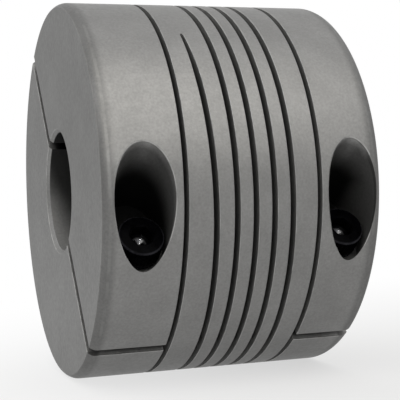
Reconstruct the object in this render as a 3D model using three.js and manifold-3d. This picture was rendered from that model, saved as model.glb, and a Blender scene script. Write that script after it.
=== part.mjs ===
// A single-start helical beam coupling: a short aluminium cylinder that clamps on two shafts.
//
// A helical slot cut through to the bore leaves a spring-like beam between the two hubs. Each hub is
// slit across its full diameter and freed from the beam by a transverse saw cut, which stops short and
// leaves a hinge web. One cap screw a side pulls the loose jaw down and closes the hub on its shaft.
//
// Millimetres. +X is the shaft axis and +Z is up; the origin is on the axis at mid-length. The shapes
// are made in the clamp frame, whose +Z is the way the screw heads face and whose Y runs along the slit,
// and one group turns that frame to the way the coupling lies.

import * as THREE from "three";
import { mergeVertices } from "three/addons/utils/BufferGeometryUtils.js";
import Module from "manifold-3d";

const wasm = await Module();
wasm.setup();

// Body.
const LENGTH = 28.2;
const OUTER_RADIUS = 20;
const BORE_RADIUS = 6.35;
const RIM_CHAMFER_LENGTH = 0.9;
const RIM_CHAMFER_DEPTH = 0.45;
const BORE_CHAMFER = 0.4;
const ROUND_SIDES = 72;

// Clamp slits and the transverse cuts that free the hubs.
const SLIT_WIDTH = 1.1;
const CUT_WIDTH = 0.5;
const LEFT_CUT_X = 8;
const RIGHT_CUT_X = 21.6;
const CUT_DEPTH = 1.707 * OUTER_RADIUS;
const CLAMP_TILT = THREE.MathUtils.degToRad(53.5);

// Helical slot. Its angle is measured from the slit's open side, towards the screw heads.
const SLOT_WIDTH = 0.5;
const SLOT_PITCH = 1.907;
const SLOT_START_ANGLE = 102.5;
const SLOT_SWEEP = 1595;
const SLOT_START_X = 10.863;
const LEAD_IN_ADVANCE = 0.579;
const LEAD_IN_SWEEP = 137.5;
const STEP_ANGLE = 5;
const SECTION_GAP_ANGLE = 2.5;

// The oval pockets, and the clamp screws that sit low in them: M2.5 with socket heads.
const POCKET_OFFSET = 12.83;
const POCKET_HALF_LENGTH = 4.5;
const POCKET_FLOOR = 8.3;
const LEFT_POCKET = { x: 4.05, halfWidth: 2.95, screwX: 4.3 };
const RIGHT_POCKET = { x: 25.12, halfWidth: 2.6, screwX: 25.12 };
const SCREW_OFFSET = 13.9;
const HEAD_RADIUS = 2.25;
const HEAD_HEIGHT = 2.5;
const HEAD_CHAMFER = 0.2;
const SEAT_GAP = 0.3;
const SOCKET_ACROSS_FLATS = 2;
const SOCKET_DEPTH = 1.3;
const SHANK_RADIUS = 1.25;
const SHANK_LENGTH = 16;
const SHANK_CHAMFER = 0.3;
const SCREW_HOLE_RADIUS = 1.55;
const SCREW_HOLE_DEPTH = 10;
const SCREW_SIDES = 24;

// A margin by which cutting tools run past the metal.
const PAST = 5;

const ALUMINIUM = { color: 0x7f7f7d, roughness: 0.45, metalness: 0.9 };
const BLACK_STEEL = { color: 0x0a0a0b, roughness: 0.25, metalness: 0.2 };

// Solids.

function solid(geometry) {
  const bare = geometry.clone();
  bare.deleteAttribute("normal");
  bare.deleteAttribute("uv");
  const merged = mergeVertices(bare, 1e-4);
  return new wasm.Manifold(
    new wasm.Mesh({
      numProp: 3,
      vertProperties: new Float32Array(merged.attributes.position.array),
      triVerts: new Uint32Array(merged.index.array),
    }),
  );
}

function block(low, high) {
  const size = high.map((value, i) => value - low[i]);
  const middle = high.map((value, i) => (value + low[i]) / 2);
  return solid(new THREE.BoxGeometry(...size).translate(...middle));
}

// A cylinder along the screw direction, oval when its two radii differ.
function post(x, offset, radiusX, radiusY, low, high, sides) {
  const geometry = new THREE.CylinderGeometry(1, 1, high - low, sides);
  geometry.rotateX(Math.PI / 2);
  geometry.scale(radiusX, radiusY, 1);
  return solid(geometry.translate(x, -offset, (low + high) / 2));
}

function screwHole(side, low, high) {
  const radius = SCREW_HOLE_RADIUS;
  return post(side.pocket.screwX, SCREW_OFFSET, radius, radius, low, high, SCREW_SIDES);
}

// A box bent round the shaft axis. leftX and rightX give its two faces for each angle of sweep.
function bentBar(from, to, innerRadius, outerRadius, leftX, rightX) {
  const steps = Math.ceil((to - from) / STEP_ANGLE);
  const geometry = new THREE.BoxGeometry(1, 1, 1, 1, 1, steps);
  const place = geometry.attributes.position;
  for (let i = 0; i < place.count; i += 1) {
    const step = Math.round((place.getZ(i) + 0.5) * steps);
    const sweep = from + (step / steps) * (to - from);
    const radius = innerRadius + (place.getY(i) + 0.5) * (outerRadius - innerRadius);
    const x = place.getX(i) < 0 ? leftX(sweep) : rightX(sweep);
    const turned = THREE.MathUtils.euclideanModulo(SLOT_START_ANGLE - sweep, 360);
    const angle = THREE.MathUtils.degToRad(turned);
    place.setXYZ(i, x, -radius * Math.cos(angle), radius * Math.sin(angle));
  }
  return solid(geometry);
}

// The middle of the helical slot. Its first stretch advances faster.
function slotX(sweep) {
  const leadIn = Math.max(0, 1 - Math.max(0, sweep) / LEAD_IN_SWEEP);
  return SLOT_START_X + (SLOT_PITCH * sweep) / 360 - LEAD_IN_ADVANCE * leadIn ** 2;
}

const beforeSlot = (sweep) => slotX(sweep) - SLOT_WIDTH / 2;
const afterSlot = (sweep) => slotX(sweep) + SLOT_WIDTH / 2;

// The whole turned and bored cylinder, before any cut.
function turnedBody() {
  const profile = [
    [BORE_RADIUS + BORE_CHAMFER, 0],
    [OUTER_RADIUS - RIM_CHAMFER_DEPTH, 0],
    [OUTER_RADIUS, RIM_CHAMFER_LENGTH],
    [OUTER_RADIUS, LENGTH - RIM_CHAMFER_LENGTH],
    [OUTER_RADIUS - RIM_CHAMFER_DEPTH, LENGTH],
    [BORE_RADIUS + BORE_CHAMFER, LENGTH],
    [BORE_RADIUS, LENGTH - BORE_CHAMFER],
    [BORE_RADIUS, BORE_CHAMFER],
    [BORE_RADIUS + BORE_CHAMFER, 0],
  ].map(([radius, height]) => new THREE.Vector2(radius, height));
  return solid(new THREE.LatheGeometry(profile, ROUND_SIDES).rotateZ(-Math.PI / 2));
}

const body = turnedBody();
const reach = OUTER_RADIUS + PAST;

// Everything of the body beyond one turn of the slot, made in two bars that meet face to face.
function beyondSlot(from, to, leftX, rightX) {
  const inner = BORE_RADIUS - PAST;
  const half = from + 180;
  return bentBar(from, half, inner, reach, leftX, rightX).add(
    bentBar(half, to, inner, reach, leftX, rightX),
  );
}

// One side's clamp, described once so that both hubs are cut alike.
function clampSide(name, cutX, outward, pocket) {
  const cutNear = cutX - (CUT_WIDTH / 2) * outward;
  const cutFar = cutX + (CUT_WIDTH / 2) * outward;
  const endX = outward < 0 ? -PAST : LENGTH + PAST;
  return { name, cutNear, cutFar, endX, pocket };
}

const LEFT = clampSide("left", LEFT_CUT_X, -1, LEFT_POCKET);
const RIGHT = clampSide("right", RIGHT_CUT_X, 1, RIGHT_POCKET);

function between(a, b, lowY, highY, lowZ, highZ) {
  return block([Math.min(a, b), lowY, lowZ], [Math.max(a, b), highY, highZ]);
}

// The hub with its fixed jaw, the hinge web and the ring up to the helical slot.
function hub(side, beamSide) {
  const transverseCut = between(
    side.cutNear,
    side.cutFar,
    -reach,
    CUT_DEPTH - OUTER_RADIUS,
    -reach,
    reach,
  );
  const jawAndSlit = between(side.cutNear, side.endX, -reach, reach, -SLIT_WIDTH / 2, reach);
  const tappedHole = screwHole(side, -SCREW_HOLE_DEPTH, 0);
  return body.subtract(beamSide).subtract(transverseCut).subtract(jawAndSlit).subtract(tappedHole);
}

// The loose half of a hub, with the screw's pocket and clearance hole.
function clampJaw(side) {
  const half = between(side.cutFar, side.endX, -reach, reach, SLIT_WIDTH / 2, reach);
  const pocket = post(
    side.pocket.x,
    POCKET_OFFSET,
    side.pocket.halfWidth,
    POCKET_HALF_LENGTH,
    POCKET_FLOOR,
    reach,
    2 * SCREW_SIDES,
  );
  const clearance = screwHole(side, 0, POCKET_FLOOR + SEAT_GAP);
  return body.intersect(half).subtract(pocket).subtract(clearance);
}

function clampScrew(side) {
  const underHead = POCKET_FLOOR + SEAT_GAP;
  const top = underHead + HEAD_HEIGHT;
  const tip = underHead - SHANK_LENGTH;
  const profile = [
    [0, tip],
    [SHANK_RADIUS - SHANK_CHAMFER, tip],
    [SHANK_RADIUS, tip + SHANK_CHAMFER],
    [SHANK_RADIUS, underHead],
    [HEAD_RADIUS, underHead],
    [HEAD_RADIUS, top - HEAD_CHAMFER],
    [HEAD_RADIUS - HEAD_CHAMFER, top],
    [0, top],
  ].map(([radius, height]) => new THREE.Vector2(radius, height));
  const turned = new THREE.LatheGeometry(profile, SCREW_SIDES).rotateX(Math.PI / 2);
  const { screwX } = side.pocket;
  const corner = SOCKET_ACROSS_FLATS / Math.sqrt(3);
  const socket = post(screwX, SCREW_OFFSET, corner, corner, top - SOCKET_DEPTH, top + PAST, 6);
  return solid(turned.translate(screwX, -SCREW_OFFSET, 0)).subtract(socket);
}

// One turn of the beam, between two passes of the slot.
function beamTurn(from, to) {
  return bentBar(from, to, BORE_RADIUS, OUTER_RADIUS, afterSlot, (sweep) => beforeSlot(sweep + 360));
}

// Meshes.

function named(name, manifold, finish) {
  const { vertProperties, triVerts } = manifold.getMesh();
  const geometry = new THREE.BufferGeometry();
  geometry.setAttribute("position", new THREE.BufferAttribute(vertProperties, 3));
  geometry.setIndex(new THREE.BufferAttribute(triVerts, 1));
  const mesh = new THREE.Mesh(geometry, new THREE.MeshStandardMaterial(finish));
  mesh.name = name;
  return mesh;
}

const clampFrame = new THREE.Group();
clampFrame.rotation.x = CLAMP_TILT;
clampFrame.position.x = -LENGTH / 2;

// Each cutter laps itself by one step, at the end where the lap cuts no deeper.
const beamSweep = SLOT_SWEEP - 360;
const afterFirstTurn = beyondSlot(0, 360 + STEP_ANGLE, beforeSlot, () => LENGTH + PAST);
const beforeLastTurn = beyondSlot(beamSweep - STEP_ANGLE, SLOT_SWEEP, () => -PAST, afterSlot);
clampFrame.add(named("left_hub", hub(LEFT, afterFirstTurn), ALUMINIUM));
clampFrame.add(named("right_hub", hub(RIGHT, beforeLastTurn), ALUMINIUM));

for (const side of [LEFT, RIGHT]) {
  clampFrame.add(named(`${side.name}_clamp_jaw`, clampJaw(side), ALUMINIUM));
  clampFrame.add(named(`${side.name}_clamp_screw`, clampScrew(side), BLACK_STEEL));
}

for (let turn = 0; turn * 360 < beamSweep; turn += 1) {
  const from = turn * 360 + SECTION_GAP_ANGLE / 2;
  const to = Math.min((turn + 1) * 360, beamSweep) - SECTION_GAP_ANGLE / 2;
  clampFrame.add(named(`beam_turn_${turn + 1}`, beamTurn(from, to), ALUMINIUM));
}

const coupling = new THREE.Group();
coupling.add(clampFrame);

export default coupling;
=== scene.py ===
"""A helical beam coupling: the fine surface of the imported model, its materials, and a small studio.

Shapes are made in millimetres in the clamp frame: X runs along the shaft from the left end face, Y along
the clamp slit, and Z the way the screw heads face. settle() moves each finished piece into the row frame.
"""

import math
from types import SimpleNamespace

import bmesh
import bpy
from mathutils import Matrix, Vector


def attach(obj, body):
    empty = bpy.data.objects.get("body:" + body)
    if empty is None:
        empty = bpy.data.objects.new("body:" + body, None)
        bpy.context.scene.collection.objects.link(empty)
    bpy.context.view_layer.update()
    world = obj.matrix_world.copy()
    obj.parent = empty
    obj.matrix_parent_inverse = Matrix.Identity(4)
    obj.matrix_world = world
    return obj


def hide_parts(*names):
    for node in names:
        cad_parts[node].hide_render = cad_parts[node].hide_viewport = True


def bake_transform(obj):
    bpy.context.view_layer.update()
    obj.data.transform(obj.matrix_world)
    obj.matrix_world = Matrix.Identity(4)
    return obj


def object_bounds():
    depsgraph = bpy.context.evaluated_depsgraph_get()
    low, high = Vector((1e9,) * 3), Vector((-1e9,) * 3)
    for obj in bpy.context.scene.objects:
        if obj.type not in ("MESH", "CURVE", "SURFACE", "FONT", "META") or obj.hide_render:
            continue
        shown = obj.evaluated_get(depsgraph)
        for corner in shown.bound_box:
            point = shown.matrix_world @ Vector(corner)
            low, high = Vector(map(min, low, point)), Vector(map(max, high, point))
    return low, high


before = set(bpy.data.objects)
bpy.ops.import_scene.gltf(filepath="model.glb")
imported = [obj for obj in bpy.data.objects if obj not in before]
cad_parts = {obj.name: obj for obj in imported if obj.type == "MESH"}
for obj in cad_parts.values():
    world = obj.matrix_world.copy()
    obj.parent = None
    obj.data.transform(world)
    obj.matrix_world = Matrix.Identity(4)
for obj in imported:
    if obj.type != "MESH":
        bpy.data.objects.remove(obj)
cad_low, cad_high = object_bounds()

MM = 0.001

# Driving dimensions, in millimetres and degrees. Round sizes are radii. Widths, lengths and depths are
# whole ones, unless they are named half.
LENGTH = (cad_high.x - cad_low.x) / MM
RADIUS = 20.0
BORE = 6.35
BORE_CHAMFER = 0.4
RIM_RADIUS = 1.25
RIM_BREAK_ANGLE = 50
EDGE = 0.05
CLAMP_TILT = 53.5
SLIT_WIDTH = 1.1
CUT_WIDTH = 0.5
CUT_DEPTH = 1.707 * RADIUS

# The helical slot. It advances faster in its lead-in, widens over its taper, and both its ends are round.
SLOT_WIDTH = 0.58
SLOT_PITCH = 1.907
SLOT_START_X = 10.863
SLOT_START_ANGLE = 102.5
SLOT_SWEEP = 1595
LEAD_IN_SWEEP = 137.5
LEAD_IN_ADVANCE = 0.579
SLOT_TAPER = 18
SLOT_TIP = 0.54
TIP_SWEEP = 0.5
TIP_START = 0.15

# The screw pockets and the M2.5 clamp screws in them.
POCKET_OFFSET = 12.83
POCKET_HALF_LENGTH = 4.5
POCKET_FLOOR = 8.3
SCREW_OFFSET = 13.9
SCREW_HOLE = 1.55
SCREW_HOLE_DEPTH = 10
HEAD = 2.25
HEAD_HEIGHT = 2.5
HEAD_ROUND = 0.3
HEAD_FOOT_CHAMFER = 0.12
HEAD_GAP = 0.3
HEAD_FOOT = POCKET_FLOOR + HEAD_GAP
HEAD_TOP = HEAD_FOOT + HEAD_HEIGHT
KNURLS = 40
KNURL_DEPTH = 0.05
SOCKET_FLATS = 2.0
SOCKET_DEPTH = 1.3
SOCKET_CHAMFER = 0.14
DRILL_SLOPE = 31
SHANK = 1.25
SHANK_LENGTH = 16
SHANK_POINT = 0.35
THREAD_DEPTH = 0.2
THREAD_PITCH = 0.45
THREAD_RUN_OUT = 1.0

# Each hub: the transverse cut's middle, the way out to the end face, its screw pocket and its screw.
SIDES = {
    "left": {"cut": 8.0, "out": -1, "pocket_x": 4.05, "pocket_half": 2.95, "screw_x": 4.3},
    "right": {"cut": 21.6, "out": 1, "pocket_x": 25.12, "pocket_half": 2.6, "screw_x": 25.12},
}

# Cutters run this far past the body, and this far past the wall or the broken edge that they cut.
PAST = 5
CLEAR = 1
REACH = RADIUS + PAST

# How finely round shapes are divided. The slot's stations are in degrees of its sweep.
ROUND_SIDES = 360
RIM_STEPS = 8
SLOT_STEP = 2.5
TIP_STATIONS = (0.0, 0.15, 0.45)
POCKET_SIDES = 160
HOLE_SIDES = 48
SIDES_PER_KNURL = 8
HEAD_ROUND_STEPS = 8
KNURL_FADE_STEPS = 3
SHANK_SIDES = 36
ROWS_PER_PITCH = 8


# Mesh tools.

def mesh_object(name, vertices, faces):
    """A linked object of these faces, all turned to face outwards."""
    mesh = bpy.data.meshes.new(name)
    mesh.from_pydata(vertices, [], faces)
    made = bpy.data.objects.new(name, mesh)
    bpy.context.scene.collection.objects.link(made)
    work = bmesh.new()
    work.from_mesh(mesh)
    bmesh.ops.recalc_face_normals(work, faces=work.faces)
    work.to_mesh(mesh)
    work.free()
    return made


def around(x, radius, degrees):
    """A point at an angle round the shaft, counted from the slit's open side towards the screw heads."""
    angle = math.radians(degrees)
    return (x, -radius * math.cos(angle), radius * math.sin(angle))


def loft(name, rings, closed=False):
    """A solid through rings of points that all have the same count. Closed joins the last to the first."""
    count = len(rings[0])
    vertices = [point for ring in rings for point in ring]
    faces = []
    spans = len(rings) if closed else len(rings) - 1
    for i in range(spans):
        a, b = i * count, (i + 1) % len(rings) * count
        for j in range(count):
            k = (j + 1) % count
            faces.append((a + j, a + k, b + k, b + j))
    if not closed:
        faces.append(tuple(range(count)))
        faces.append(tuple((len(rings) - 1) * count + j for j in range(count)))
    return mesh_object(name, vertices, faces)


def revolve(name, profile):
    """A ring-shaped solid: profile is a closed outline of (x, radius) turned round the shaft axis."""
    rings = [[around(x, r, 360 * i / ROUND_SIDES) for x, r in profile] for i in range(ROUND_SIDES)]
    return loft(name, rings, closed=True)


def block(low, high):
    """A box between two opposite corners."""
    corners = [[(x, low[1], low[2]), (x, high[1], low[2]), (x, high[1], high[2]), (x, low[1], high[2])]
               for x in (low[0], high[0])]
    return loft("block", corners)


def prism(outline, low, high, axis):
    """An outline of two coordinates, run from low to high along the third: "x", "y" or "z"."""
    place = {
        "x": lambda a, b, c: (c, a, b),
        "y": lambda a, b, c: (a, c, b),
        "z": lambda a, b, c: (a, b, c),
    }
    return loft("prism", [[place[axis](a, b, c) for a, b in outline] for c in (low, high)])


def oval(x, offset, radius_x, radius_y, count):
    """An outline round a point that lies off the shaft axis, towards the slit's open side."""
    angles = [2 * math.pi * i / count for i in range(count)]
    return [(x + radius_x * math.cos(a), -offset + radius_y * math.sin(a)) for a in angles]


def boolean(target, tool, operation="DIFFERENCE"):
    """Cuts the tool out of the target, or joins or intersects the two, and removes the tool."""
    step = target.modifiers.new("cut", "BOOLEAN")
    step.object = tool
    step.operation = operation
    step.solver = "MANIFOLD"
    depsgraph = bpy.context.evaluated_depsgraph_get()
    done = bpy.data.meshes.new_from_object(target.evaluated_get(depsgraph))
    target.modifiers.clear()
    target.data = done
    bpy.data.objects.remove(tool)
    return target


# The body and its cuts.

def slot_x(sweep):
    """The middle of the helical slot at a sweep from its start."""
    lead_in = max(0.0, 1 - max(0.0, sweep) / LEAD_IN_SWEEP)
    return SLOT_START_X + SLOT_PITCH * sweep / 360 - LEAD_IN_ADVANCE * lead_in ** 2


def turned_body():
    """The bored cylinder. Each rim rolls over from the round side to a crisp edge at the end face."""
    rim = []
    for i in range(RIM_STEPS + 1):
        angle = math.radians(RIM_BREAK_ANGLE * (1 - i / RIM_STEPS))
        along = RIM_RADIUS * (math.sin(math.radians(RIM_BREAK_ANGLE)) - math.sin(angle))
        rim.append((along, RADIUS - RIM_RADIUS * (1 - math.cos(angle))))
    outline = [(0, BORE + BORE_CHAMFER), *rim]
    outline += [(LENGTH - x, r) for x, r in reversed(rim)]
    outline += [(LENGTH, BORE + BORE_CHAMFER), (LENGTH - BORE_CHAMFER, BORE), (BORE_CHAMFER, BORE)]
    return revolve("body", outline)


def helical_slot():
    """The cutter of the slot, with a broken edge at the surface, tapered and rounded at both ends."""
    steps = int(SLOT_SWEEP / SLOT_STEP)
    sweeps = [*TIP_STATIONS]
    sweeps += [i * SLOT_STEP for i in range(1, steps)]
    sweeps += [SLOT_SWEEP - station for station in reversed(TIP_STATIONS)]
    rings = []
    for sweep in sweeps:
        from_end = min(sweep, SLOT_SWEEP - sweep)
        narrowing = SLOT_TIP + (1 - SLOT_TIP) * min(1.0, from_end / SLOT_TAPER)
        # A round end widens with the square root of the way from its tip, where TIP_START keeps it open.
        rounding = math.sqrt(min(1.0, TIP_START + from_end / TIP_SWEEP))
        half = SLOT_WIDTH / 2 * narrowing * rounding
        flare = half + EDGE + CLEAR
        middle = slot_x(sweep)
        section = [
            (-half, BORE - CLEAR), (half, BORE - CLEAR), (half, RADIUS - EDGE),
            (flare, RADIUS + CLEAR), (-flare, RADIUS + CLEAR), (-half, RADIUS - EDGE),
        ]
        rings.append([around(middle + x, r, SLOT_START_ANGLE - sweep) for x, r in section])
    return loft("slot", rings)


def transverse_cut(side):
    """The saw cut that frees a hub, stopping short at the hinge web, with its edges broken."""
    middle = side["cut"]
    half = CUT_WIDTH / 2
    flare = half + EDGE + CLEAR
    stop = CUT_DEPTH - RADIUS
    cut = block((middle - half, -REACH, -REACH), (middle + half, stop, REACH))
    groove = revolve("groove", [
        (middle - half, RADIUS - EDGE), (middle + half, RADIUS - EDGE),
        (middle + flare, RADIUS + CLEAR), (middle - flare, RADIUS + CLEAR),
    ])
    boolean(groove, block((0, stop, -REACH), (LENGTH, REACH, REACH)))
    return boolean(cut, groove, "UNION")


def clamp_slit(side):
    """The slit across the hub's full diameter, its edges broken at the surface and the end face."""
    inner = side["cut"] - side["out"] * CUT_WIDTH / 2
    end = 0.0 if side["out"] < 0 else LENGTH
    half = SLIT_WIDTH / 2
    flare = half + EDGE + CLEAR
    low, high = sorted((inner, end + side["out"] * PAST))
    cut = block((low, -REACH, -half), (high, REACH, half))
    for way in (-1, 1):
        skin = way * (RADIUS - EDGE)
        beyond = way * (RADIUS + CLEAR)
        outline = [(skin, -half), (skin, half), (beyond, flare), (beyond, -flare)]
        boolean(cut, prism(outline, low, high, "x"), "UNION")
    face = end - side["out"] * EDGE
    beyond = end + side["out"] * CLEAR
    outline = [(face, -half), (face, half), (beyond, flare), (beyond, -flare)]
    return boolean(cut, prism(outline, -REACH, REACH, "y"), "UNION")


def broken_rim(wall, broken, middle, break_depth):
    """A ring that breaks a pocket's edge, from a wider outline on the skin down to the pocket's wall."""
    above_skin = 0.6
    towards_middle = 0.2
    rings = []
    for (x, y), (x_out, y_out) in zip(wall, broken):
        z = math.sqrt(RADIUS ** 2 - y ** 2)
        z_out = math.sqrt(RADIUS ** 2 - y_out ** 2)
        inward = Vector((middle - x, -POCKET_OFFSET - y, 0)) * towards_middle
        outward = Vector((0, above_skin * y / RADIUS, above_skin * z / RADIUS))
        above = Vector((x, y, z)) + inward + outward
        rings.append([(x_out, y_out, z_out), (x, y, z - break_depth), tuple(above)])
    return loft("rim", rings, closed=True)


def screw_pocket(side):
    """The oval counterbore for the screw's head, its edge broken, and the hole below it."""
    middle, half = side["pocket_x"], side["pocket_half"]
    edge_break = 2 * EDGE
    wall = oval(middle, POCKET_OFFSET, half, POCKET_HALF_LENGTH, POCKET_SIDES)
    broken = oval(middle, POCKET_OFFSET, half + edge_break, POCKET_HALF_LENGTH + edge_break, POCKET_SIDES)
    pocket = prism(wall, POCKET_FLOOR, REACH, "z")
    boolean(pocket, broken_rim(wall, broken, middle, edge_break), "UNION")
    round_hole = oval(side["screw_x"], SCREW_OFFSET, SCREW_HOLE, SCREW_HOLE, HOLE_SIDES)
    hole = prism(round_hole, -SCREW_HOLE_DEPTH, POCKET_FLOOR + CLEAR, "z")
    return boolean(pocket, hole, "UNION")


def machined_body():
    body = turned_body()
    boolean(body, helical_slot())
    for side in SIDES.values():
        boolean(body, clamp_slit(side))
        boolean(body, transverse_cut(side))
        boolean(body, screw_pocket(side))
    return body


# The clamp screws, made with the underside of the head at the origin.

def screw_ring(radii, z):
    """Points round the screw's axis at even angles, each at its own radius."""
    count = len(radii)
    angles = [2 * math.pi * i / count for i in range(count)]
    return [(r * math.cos(a), r * math.sin(a), z) for a, r in zip(angles, radii)]


def disc(radius, z):
    return screw_ring([radius] * HOLE_SIDES, z)


def knurled_cylinder():
    """The head's outside. Its knurls fade out where its top edge rounds over."""
    count = KNURLS * SIDES_PER_KNURL

    def knurled(radius, depth):
        waves = [0.5 + 0.5 * math.cos(2 * math.pi * i / SIDES_PER_KNURL) for i in range(count)]
        return [radius - depth * wave for wave in waves]

    rings = [
        screw_ring(knurled(HEAD - HEAD_FOOT_CHAMFER, 0), 0),
        screw_ring(knurled(HEAD, KNURL_DEPTH), HEAD_FOOT_CHAMFER),
    ]
    for i in range(HEAD_ROUND_STEPS + 1):
        angle = math.radians(90 * i / HEAD_ROUND_STEPS)
        radius = HEAD - HEAD_ROUND * (1 - math.cos(angle))
        depth = KNURL_DEPTH * max(0.0, 1 - i / KNURL_FADE_STEPS)
        z = HEAD_HEIGHT - HEAD_ROUND * (1 - math.sin(angle))
        rings.append(screw_ring(knurled(radius, depth), z))
    return loft("head", rings)


def screw_head():
    """The knurled head with its hexagonal socket, which has a drilled bottom and a chamfered mouth."""
    drill_clearance = 0.03
    drill_flat = 0.02
    drill_overlap = 0.2
    inside_corners = 0.1
    top = HEAD_HEIGHT
    bottom = top - SOCKET_DEPTH
    corner = SOCKET_FLATS / math.sqrt(3)
    drill = SOCKET_FLATS / 2 - drill_clearance
    point = drill * math.tan(math.radians(DRILL_SLOPE))

    head = knurled_cylinder()
    hexagon = screw_ring([corner] * 6, 0)
    boolean(head, prism([(x, y) for x, y, _ in hexagon], bottom, top + CLEAR, "z"))
    drilled = [disc(drill_flat, bottom - point), disc(drill, bottom), disc(drill, bottom + drill_overlap)]
    boolean(head, loft("drill", drilled))
    narrow = corner - inside_corners
    mouth = [disc(narrow, top - SOCKET_CHAMFER), disc(narrow + CLEAR, top - SOCKET_CHAMFER + CLEAR)]
    return boolean(head, loft("cone", mouth))


def screw_shank():
    """The threaded shank, its crest running round it as a helix. The thread runs out below the head."""
    into_head = 0.5
    rows = int(SHANK_LENGTH / THREAD_PITCH * ROWS_PER_PITCH)
    rings = []
    for row in range(rows + 1):
        z = (SHANK_LENGTH + into_head) * row / rows - SHANK_LENGTH
        crest = min(SHANK, SHANK - SHANK_POINT + z + SHANK_LENGTH)
        depth = THREAD_DEPTH * min(1.0, max(0.0, -z / THREAD_RUN_OUT))
        radii = []
        for i in range(SHANK_SIDES):
            phase = (z / THREAD_PITCH - i / SHANK_SIDES) % 1
            radii.append(crest - depth * (1 - abs(2 * phase - 1)))
        rings.append(screw_ring(radii, z))
    return loft("shank", rings)


def clamp_screw(side):
    screw = boolean(screw_head(), screw_shank(), "UNION")
    screw.data.transform(Matrix.Translation((side["screw_x"], -SCREW_OFFSET, HEAD_FOOT)))
    return screw


# Placing.

# Each vertex keeps its place at rest, so that the metal's edges and recesses stay put where the beam bends.
REST_PLACE = "rest_place"
SHARP_ANGLE = 20

TO_ROW = (
    Matrix.Scale(MM, 4)
    @ Matrix.Rotation(math.radians(CLAMP_TILT), 4, "X")
    @ Matrix.Translation((-LENGTH / 2, 0, 0))
)


def plane_point(x):
    """The point where a plane across the shaft meets its axis, in the row frame."""
    return TO_ROW @ Vector((x, 0, 0))


def part_of(body, name, ends, y_low=-REACH, z_low=-REACH):
    """A copy of the body's stretch between two planes across the shaft, above a lower Y and Z."""
    made = body.copy()
    made.data = body.data.copy()
    made.name = name
    bpy.context.scene.collection.objects.link(made)
    return boolean(made, block((min(ends), y_low, z_low), (max(ends), REACH, REACH)), "INTERSECT")


def settle(piece, name, material, nodes=()):
    """Moves a finished piece into the row frame, smooths it, gives it its material, and hides the imported
    parts it replaces.
    """
    piece.name = name
    piece.data.name = name
    piece.data.transform(TO_ROW)
    piece.data.shade_smooth()
    piece.data.set_sharp_from_angle(angle=math.radians(SHARP_ANGLE))
    piece.data.materials.clear()
    piece.data.materials.append(material)
    places = [value for vertex in piece.data.vertices for value in vertex.co]
    piece.data.attributes.new(REST_PLACE, "FLOAT_VECTOR", "POINT").data.foreach_set("vector", places)
    if nodes:
        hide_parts(*nodes)
    return piece


# Node tools. A value is a number, a tuple (a color or a vector) or another node's output.

def principled(name):
    material = bpy.data.materials.new(name)
    material.use_nodes = True
    tree = material.node_tree
    return material, tree, tree.nodes["Principled BSDF"]


def grey(shade):
    return (shade, shade, shade)


def in_metres(low, high):
    """A band given in millimetres, in Blender's metres."""
    return (low * MM, high * MM)


def put(tree, socket, value):
    """Sets a socket to a number or a tuple, or links an output to it. Colors get their alpha here."""
    if isinstance(value, (int, float)):
        socket.default_value = value
    elif isinstance(value, tuple):
        socket.default_value = (*value, 1)[:len(socket.default_value)]
    else:
        tree.links.new(value, socket)


def maths(tree, operation, *values):
    made = tree.nodes.new("ShaderNodeMath")
    made.operation = operation
    for socket, value in zip(made.inputs, values):
        put(tree, socket, value)
    return made.outputs["Value"]


def product(tree, first, *others):
    for other in others:
        first = maths(tree, "MULTIPLY", first, other)
    return first


def hypotenuse(tree, a, b):
    squares = [maths(tree, "MULTIPLY", leg, leg) for leg in (a, b)]
    return maths(tree, "SQRT", maths(tree, "ADD", *squares))


def vector_maths(tree, operation, a, b):
    made = tree.nodes.new("ShaderNodeVectorMath")
    made.operation = operation
    put(tree, made.inputs[0], a)
    put(tree, made.inputs[1], b)
    return made.outputs["Vector" if operation == "SUBTRACT" else "Value"]


def axes(tree, vector):
    split = tree.nodes.new("ShaderNodeSeparateXYZ")
    tree.links.new(vector, split.inputs["Vector"])
    return [split.outputs[axis] for axis in "XYZ"]


def spread(tree, value, band, low, high):
    """A smooth step from low to high as the value crosses a band."""
    made = tree.nodes.new("ShaderNodeMapRange")
    made.interpolation_type = "SMOOTHSTEP"
    for name, number in zip(("From Min", "From Max", "To Min", "To Max"), (*band, low, high)):
        made.inputs[name].default_value = number
    tree.links.new(value, made.inputs["Value"])
    return made.outputs["Result"]


def rise(tree, distance, low, high):
    """From 0 to 1 across a band in millimetres."""
    return spread(tree, distance, in_metres(low, high), 0.0, 1.0)


def fall(tree, distance, low, high):
    """From 1 to 0 across a band in millimetres."""
    return spread(tree, distance, in_metres(low, high), 1.0, 0.0)


def mixed(tree, factor, a, b, color_mode=None):
    """A number between a and b, or in a color mode a color."""
    made = tree.nodes.new("ShaderNodeMix")
    if color_mode:
        made.data_type = "RGBA"
        made.blend_type = color_mode
    for name, value in zip(("Factor", "A", "B"), (factor, a, b)):
        put(tree, made.inputs[name], value)
    return made.outputs["Result"]


def multiplied(tree, factor, a, b):
    return mixed(tree, factor, a, b, "MULTIPLY")


def noise(tree, place, scale, detail):
    """Fractal noise. Its scale is in cells per metre."""
    made = tree.nodes.new("ShaderNodeTexNoise")
    made.inputs["Scale"].default_value = scale
    made.inputs["Detail"].default_value = detail
    tree.links.new(place, made.inputs["Vector"])
    return made.outputs["Fac"]


def mottle(tree, place, scale, detail, band, colors):
    """Noise that runs between two colors across a band of its values."""
    made = tree.nodes.new("ShaderNodeValToRGB")
    for element, position, color in zip(made.color_ramp.elements, band, colors):
        element.position = position
        element.color = (*color, 1)
    tree.links.new(noise(tree, place, scale, detail), made.inputs["Fac"])
    return made.outputs["Color"]


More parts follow.
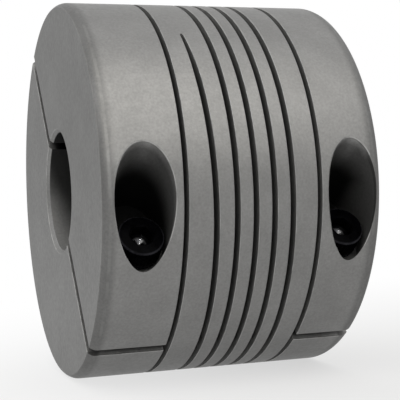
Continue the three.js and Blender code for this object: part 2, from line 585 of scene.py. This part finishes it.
def bump(tree, height, strength, distance, normal=None):
    made = tree.nodes.new("ShaderNodeBump")
    made.inputs["Distance"].default_value = distance
    put(tree, made.inputs["Strength"], strength)
    tree.links.new(height, made.inputs["Height"])
    if normal:
        tree.links.new(normal, made.inputs["Normal"])
    return made.outputs["Normal"]


# The body's aluminium. Each shade is painted light or shade in the metal's colour: below 1 it
# darkens the metal, and above 1 it lightens it.

METAL_COLOR = (0.205, 0.204, 0.2)
WORN_AND_HIGHLIGHT_COLOR = (0.42, 0.42, 0.41)
SPECULAR_TINT = (0.6, 0.6, 0.6, 1)
METALLIC = 0.8
BORE_METALLIC = 0.35
RECESS_SHADE = 0.06
BORE_MOUTH_SHADE = 1.1
BORE_SHADE = 0.1
LIP_SHADE = 1.9
SLIT_SHADE = 0.2
RIM_SHADE = 0.68
RIM_WEAR = 0.15

# The painted shade in the recesses deepens across this depth. Under an end face it deepens in a third of
# it.
RECESS_DEPTH = (1.3, 4.8)
END_FACE_FACTOR = 3.0

# The bore's painted shade deepens across this depth. Light from above reaches further in along its lower
# wall.
BORE_DEPTH = (-1.6, 2.4)
BORE_SLANT = 0.45

# The bore's own wall, by its radius.
BORE_WALL = (BORE + 0.02, BORE + 0.06)


def crisp(edge):
    """The narrow band just past an edge, in millimetres, across which the finish changes."""
    return (edge + 0.005, edge + 0.03)


def places_in_metal(tree, place):
    """How far a point lies under the round side and the end faces, off the axis, up, and off the slit."""
    x, y, z = axes(tree, place)
    radius = hypotenuse(tree, y, z)
    tilt = math.radians(CLAMP_TILT)
    across_slit = vector_maths(tree, "DOT_PRODUCT", place, (0, -math.sin(tilt), math.cos(tilt)))
    return SimpleNamespace(
        under_side=maths(tree, "SUBTRACT", RADIUS * MM, radius),
        under_end=maths(tree, "SUBTRACT", LENGTH / 2 * MM, maths(tree, "ABSOLUTE", x)),
        radius=radius,
        height=z,
        off_slit=maths(tree, "ABSOLUTE", across_slit),
    )


def depth_shade(tree, at):
    """Painted shade: recesses are darker the deeper they go, and the bore the further in it goes."""
    sunk = maths(tree, "MINIMUM", at.under_side, product(tree, at.under_end, END_FACE_FACTOR))
    recess = spread(tree, sunk, in_metres(*RECESS_DEPTH), 1.0, RECESS_SHADE)
    inwards = maths(tree, "ADD", at.under_end, product(tree, at.height, BORE_SLANT))
    down_bore = spread(tree, inwards, in_metres(*BORE_DEPTH), BORE_MOUTH_SHADE, BORE_SHADE)
    return mixed(tree, rise(tree, at.radius, *BORE_WALL), down_bore, recess)


def lips(tree, at):
    """The top of the walls of pockets and slots, where more light reaches. Not at the rim."""
    below_skin = rise(tree, at.under_side, 0.08, 0.2)
    shallow = fall(tree, at.under_side, 0.15, 1.1)
    past_rim = rise(tree, at.under_end, 1.0, 1.4)
    return product(tree, below_skin, shallow, past_rim)


def slit_walls(tree, at):
    """The clamp slits' walls, from just under the surface, which get painted shade."""
    near = fall(tree, at.off_slit, *crisp(SLIT_WIDTH / 2))
    deep = rise(tree, maths(tree, "MINIMUM", at.under_side, at.under_end), 0.1, 1.2)
    return product(tree, near, deep)


def rolled_rim(tree, at):
    """Painted shade on the rim, standing in for the dark surroundings that it reflects: crisply from
    its edge at the end face, and softly towards the round side.
    """
    past_face = rise(tree, at.under_end, *crisp(0))
    before_side = fall(tree, at.under_end, 0.7, 1.6)
    outside = fall(tree, at.under_side, 0.5, 0.6)
    return product(tree, past_face, before_side, outside)


def worn_and_highlit_edges(tree, place, at):
    """Broken edges lie just under the skin, where handling has rubbed them in patches, less on the rim.
    Their lighter colour is also a painted highlight along the edges.
    """
    def broken_edge(under, other, rim):
        below = rise(tree, under, 0.004, 0.012)
        above = fall(tree, under, *crisp(EDGE))
        past_rim = spread(tree, other, in_metres(rim, rim + 0.1), RIM_WEAR, 1.0)
        return product(tree, below, above, past_rim)

    on_side = broken_edge(at.under_side, at.under_end, rim=1.0)
    on_end = broken_edge(at.under_end, at.under_side, rim=0.5)
    patchy = spread(tree, noise(tree, place, scale=700, detail=3), (0.35, 0.6), 0.1, 0.6)
    return product(tree, maths(tree, "MAXIMUM", on_side, on_end), patchy)


def blasted_and_reamed(tree, place, at):
    """Fine blasting everywhere, and the reamer's rings in the bore."""
    blasted = bump(tree, noise(tree, place, scale=6500, detail=3), strength=0.3, distance=0.03 * MM)
    rings = tree.nodes.new("ShaderNodeTexWave")
    rings.bands_direction = "X"
    rings.inputs["Scale"].default_value = 2100
    rings.inputs["Distortion"].default_value = 1.5
    rings.inputs["Detail"].default_value = 1.0
    tree.links.new(place, rings.inputs["Vector"])
    strength = product(tree, fall(tree, at.radius, BORE + 0.1, BORE + 0.3), 0.5)
    return bump(tree, rings.outputs["Fac"], strength, distance=0.01 * MM, normal=blasted)


def blasted_aluminium():
    """Bead-blasted and anodised, with a fine grain, faint clouds, dark recesses and rubbed edges."""
    material, tree, shader = principled("blasted_aluminium")
    at_rest = tree.nodes.new("ShaderNodeAttribute")
    at_rest.attribute_name = REST_PLACE
    place = at_rest.outputs["Vector"]
    at = places_in_metal(tree, place)

    clouds = mottle(tree, place, scale=260, detail=3, band=(0.3, 0.7), colors=(grey(0.93), grey(1.06)))
    grain = mottle(tree, place, scale=4200, detail=2, band=(0.25, 0.75), colors=(grey(0.88), grey(1.1)))
    color = multiplied(tree, 1.0, METAL_COLOR, clouds)
    color = multiplied(tree, 1.0, color, grain)
    # Painted shade in the recesses and down the bore.
    color = multiplied(tree, 1.0, color, depth_shade(tree, at))
    # Painted light at the tops of the walls of pockets and slots.
    color = multiplied(tree, lips(tree, at), color, grey(LIP_SHADE))
    # Painted shade on the slit walls.
    color = multiplied(tree, slit_walls(tree, at), color, grey(SLIT_SHADE))
    # Painted shade on the rim.
    color = multiplied(tree, rolled_rim(tree, at), color, grey(RIM_SHADE))
    # Lighter broken edges: rubbed metal, and a painted highlight.
    color = mixed(tree, worn_and_highlit_edges(tree, place, at), color, WORN_AND_HIGHLIGHT_COLOR, "MIX")
    put(tree, shader.inputs["Base Color"], color)

    matte = mottle(tree, place, scale=1900, detail=3, band=(0.3, 0.7), colors=(grey(0.35), grey(0.45)))
    put(tree, shader.inputs["Roughness"], matte)
    metallic = spread(tree, at.radius, in_metres(*BORE_WALL), BORE_METALLIC, METALLIC)
    put(tree, shader.inputs["Metallic"], metallic)
    put(tree, shader.inputs["Normal"], blasted_and_reamed(tree, place, at))
    shader.inputs["Specular Tint"].default_value = SPECULAR_TINT
    return material


# The screws' steel.

OXIDE_DARK = (0.0003, 0.0003, 0.0005)
OXIDE_LIGHT = (0.0012, 0.0012, 0.0016)
RUBBED_AND_HIGHLIGHT_STEEL = (0.02, 0.02, 0.023)
BARE_STEEL = (0.11, 0.11, 0.114)
BARE_ROUGHNESS = 0.08
OXIDE_SPECULAR = 0.012


def screw_places(tree, place, screw_x):
    """How far a point lies off a screw's own axis, and its height above the shaft axis, along the screw."""
    upright = tree.nodes.new("ShaderNodeVectorRotate")
    upright.rotation_type = "X_AXIS"
    upright.inputs["Angle"].default_value = -math.radians(CLAMP_TILT)
    tree.links.new(place, upright.inputs["Vector"])
    on_axis = ((screw_x - LENGTH / 2) * MM, -SCREW_OFFSET * MM, 0)
    x, y, z = axes(tree, vector_maths(tree, "SUBTRACT", upright.outputs["Vector"], on_axis))
    return hypotenuse(tree, x, y), z


def rubbed_and_highlit_head(tree, place, radius, height):
    """The head's top edge, and half as strongly the foot of its side, in patches: rubbed steel, and a
    painted highlight along these edges.
    """
    outer = rise(tree, radius, HEAD - 0.24, HEAD - 0.1)
    near_top = rise(tree, height, HEAD_TOP - 0.26, HEAD_TOP - 0.12)
    near_foot = spread(tree, height, in_metres(HEAD_FOOT + 0.25, HEAD_FOOT + 0.7), 0.5, 0.0)
    patchy = spread(tree, noise(tree, place, scale=900, detail=2), (0.3, 0.65), 0.3, 1.0)
    return product(tree, outer, maths(tree, "ADD", near_top, near_foot), patchy)


def drilled_bottom(tree, radius, height):
    """The socket's drilled bottom, which is bare metal."""
    socket_bottom = HEAD_TOP - SOCKET_DEPTH
    inner = fall(tree, radius, 0.5, 0.8)
    deep = fall(tree, height, socket_bottom, socket_bottom + 0.2)
    return product(tree, inner, deep)


def black_oxide(name, screw_x):
    """Oiled black oxide: nearly black, glossier in patches, and lighter along the head's edges, which
    are rubbed and carry a painted highlight.
    """
    material, tree, shader = principled(f"{name}_black_oxide")
    place = tree.nodes.new("ShaderNodeTexCoord").outputs["Object"]
    radius, height = screw_places(tree, place, screw_x)
    bare = drilled_bottom(tree, radius, height)
    color = mottle(tree, place, scale=1500, detail=3, band=(0.35, 0.7), colors=(OXIDE_DARK, OXIDE_LIGHT))
    # Lighter head edges: rubbed steel, and a painted highlight.
    color = mixed(tree, rubbed_and_highlit_head(tree, place, radius, height), color, RUBBED_AND_HIGHLIGHT_STEEL, "MIX")
    put(tree, shader.inputs["Base Color"], mixed(tree, bare, color, BARE_STEEL, "MIX"))
    put(tree, shader.inputs["Metallic"], bare)
    rough = mottle(tree, place, scale=3000, detail=2, band=(0.3, 0.7), colors=(grey(0.14), grey(0.28)))
    put(tree, shader.inputs["Roughness"], mixed(tree, bare, rough, grey(BARE_ROUGHNESS), "MIX"))
    shader.inputs["Specular IOR Level"].default_value = OXIDE_SPECULAR
    tumbled = bump(tree, noise(tree, place, scale=5000, detail=2), strength=0.2, distance=0.02 * MM)
    put(tree, shader.inputs["Normal"], tumbled)
    return material


# Assembly.

# The beam is parted at even planes between the slot's two ends, one stretch between each two neighbours in
# BEAM.
BEAM = ["left_hub", "beam_turn_1", "beam_turn_2", "beam_turn_3", "beam_turn_4", "right_hub"]

aluminium = blasted_aluminium()
body = machined_body()

beam_low = slot_x(0) - SLOT_WIDTH / 2
beam_high = slot_x(SLOT_SWEEP) + SLOT_WIDTH / 2
stretches = len(BEAM) - 1
planes = [beam_low + (beam_high - beam_low) * i / stretches for i in range(stretches + 1)]

for i in range(stretches):
    piece = part_of(body, f"beam_{i + 1}", (planes[i], planes[i + 1]))
    nodes = [BEAM[i + 1]] if i < stretches - 1 else []
    settle(piece, f"beam_{i + 1}", aluminium, nodes)
    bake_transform(piece)

for name, side in SIDES.items():
    out = side["out"]
    end = -PAST if out < 0 else LENGTH + PAST
    near = side["cut"] - out * CUT_WIDTH / 2
    far = side["cut"] + out * CUT_WIDTH / 2
    beam_plane = planes[0] if out < 0 else planes[-1]

    # The hub's fixed half, with the ring up to the beam.
    hub = part_of(body, f"{name}_hub_metal", (beam_plane, end))
    boolean(hub, block((min(near, end), -REACH, 0), (max(near, end), REACH, REACH)))
    settle(hub, f"{name}_hub_metal", aluminium, [f"{name}_hub"])
    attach(hub, f"{name}_hub")

    jaw = part_of(body, f"{name}_jaw_metal", (far, end), z_low=0)
    settle(jaw, f"{name}_jaw_metal", aluminium, [f"{name}_clamp_jaw"])
    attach(jaw, f"{name}_clamp_jaw")

    # The web behind the transverse cut, which bends as the jaw closes.
    web = part_of(body, f"{name}_hinge_web", (near, far), y_low=0, z_low=0)
    settle(web, f"{name}_hinge_web", aluminium)
    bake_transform(web)

    screw = clamp_screw(side)
    steel = black_oxide(name, side["screw_x"])
    settle(screw, f"{name}_cap_screw", steel, [f"{name}_clamp_screw"])
    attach(screw, f"{name}_clamp_screw")

bpy.data.objects.remove(body)


# Studio. Its sizes and distances are in metres.

WHITE = (1.0, 1.0, 1.0)
WARM = (1.0, 0.965, 0.89)

FLOOR_HALF = 3.0
FLOOR_COLOR = (0.5, 0.5, 0.5, 1)
FLOOR_ROUGHNESS = 0.9
FLOOR_SPECULAR = 0.1

# Where the floor is greyest, how far that grey reaches, and the share of backdrop white there.
FLOOR_DIM = (0.065, -0.06)
FLOOR_DIM_REACH = 0.17
FLOOR_GLOW = 0.3

# The tent's strength on the front left, on the back right, and overhead, and the way to the back right.
TENT_FRONT = 0.27
TENT_BACK = 0.735
TENT_TOP = 1.25
TENT_BACKWARDS = (0.55, 0.83, 0.0)
TENT_BACK_BAND = (-0.6, 0.5)
TENT_TOP_BAND = (-0.1, 0.65)

# The camera's place, in outside radii from the middle of the left end face, and its turns about X, Y and Z.
CAMERA_PLACE = (-1.1737, -5.7826, -0.0785)
CAMERA_TURNS = (90.046, 2.132, -18.888)
CAMERA_LENS = 97.86
CAMERA_SENSOR = 36
CAMERA_CLIP = 0.01


def floor():
    """A pale floor, greyest in front and to the right, that fades to the backdrop's own white."""
    half, z = FLOOR_HALF, cad_low.z
    corners = [(-half, -half, z), (half, -half, z), (half, half, z), (-half, half, z)]
    made = mesh_object("floor", corners, [(0, 1, 2, 3)])
    material, tree, shader = principled("pale_floor")
    shader.inputs["Base Color"].default_value = FLOOR_COLOR
    shader.inputs["Roughness"].default_value = FLOOR_ROUGHNESS
    shader.inputs["Specular IOR Level"].default_value = FLOOR_SPECULAR
    glow = tree.nodes.new("ShaderNodeEmission")
    place = tree.nodes.new("ShaderNodeTexCoord").outputs["Object"]
    distance = vector_maths(tree, "DISTANCE", place, (*FLOOR_DIM, cad_low.z))
    blend = tree.nodes.new("ShaderNodeMixShader")
    tree.links.new(spread(tree, distance, (0.0, FLOOR_DIM_REACH), FLOOR_GLOW, 1.0), blend.inputs["Fac"])
    tree.links.new(shader.outputs["BSDF"], blend.inputs[1])
    tree.links.new(glow.outputs["Emission"], blend.inputs[2])
    tree.links.new(blend.outputs["Shader"], tree.nodes["Material Output"].inputs["Surface"])
    made.data.materials.append(material)


def panel(name, azimuth, elevation, distance, size, radiance, color=WHITE):
    """A soft square light that faces the object. Azimuth 0 is the front and 90 the right."""
    turn, above = math.radians(azimuth), math.radians(elevation)
    way = Vector((math.sin(turn) * math.cos(above), -math.cos(turn) * math.cos(above), math.sin(above)))
    light = bpy.data.lights.new(name, "AREA")
    light.size = size
    light.energy = radiance * math.pi * size ** 2
    light.color = color
    lamp = bpy.data.objects.new(name, light)
    lamp.location = distance * way
    lamp.rotation_euler = (-way).to_track_quat("-Z", "Y").to_euler()
    bpy.context.scene.collection.objects.link(lamp)


def sky():
    """Backdrop white to the eye, and a dimmer tent for the light that falls on the object."""
    world = bpy.data.worlds.new("studio")
    bpy.context.scene.world = world
    world.use_nodes = True
    tree = world.node_tree
    background = tree.nodes["Background"]
    background.inputs["Color"].default_value = (*WHITE, 1)
    way = tree.nodes.new("ShaderNodeTexCoord").outputs["Generated"]
    backwards = vector_maths(tree, "DOT_PRODUCT", way, TENT_BACKWARDS)
    side = spread(tree, backwards, TENT_BACK_BAND, TENT_FRONT, TENT_BACK)
    upwards = spread(tree, axes(tree, way)[2], TENT_TOP_BAND, 0.0, 1.0)
    tent = mixed(tree, upwards, side, TENT_TOP)
    seen = tree.nodes.new("ShaderNodeLightPath").outputs["Is Camera Ray"]
    put(tree, background.inputs["Strength"], mixed(tree, seen, tent, 1.0))


def camera():
    """A short telephoto at the height of the axis, nineteen degrees round from square-on."""
    lens = bpy.data.cameras.new("camera")
    lens.lens = CAMERA_LENS
    lens.sensor_width = CAMERA_SENSOR
    lens.clip_start = CAMERA_CLIP
    made = bpy.data.objects.new("camera", lens)
    made.location = plane_point(0) + Vector(CAMERA_PLACE) * RADIUS * MM
    made.rotation_euler = [math.radians(turn) for turn in CAMERA_TURNS]
    bpy.context.scene.collection.objects.link(made)
    bpy.context.scene.camera = made


floor()
panel("key", azimuth=-8, elevation=47, distance=0.5, size=0.6, radiance=1.22, color=WARM)
panel("front_card", azimuth=-10, elevation=0, distance=0.5, size=0.4, radiance=0.42)
panel("left_card", azimuth=-72, elevation=35, distance=0.5, size=0.2, radiance=1.0)
panel("glint", azimuth=-13, elevation=15, distance=0.6, size=0.015, radiance=220)
sky()
camera()
bpy.context.scene.view_settings.view_transform = "Standard"
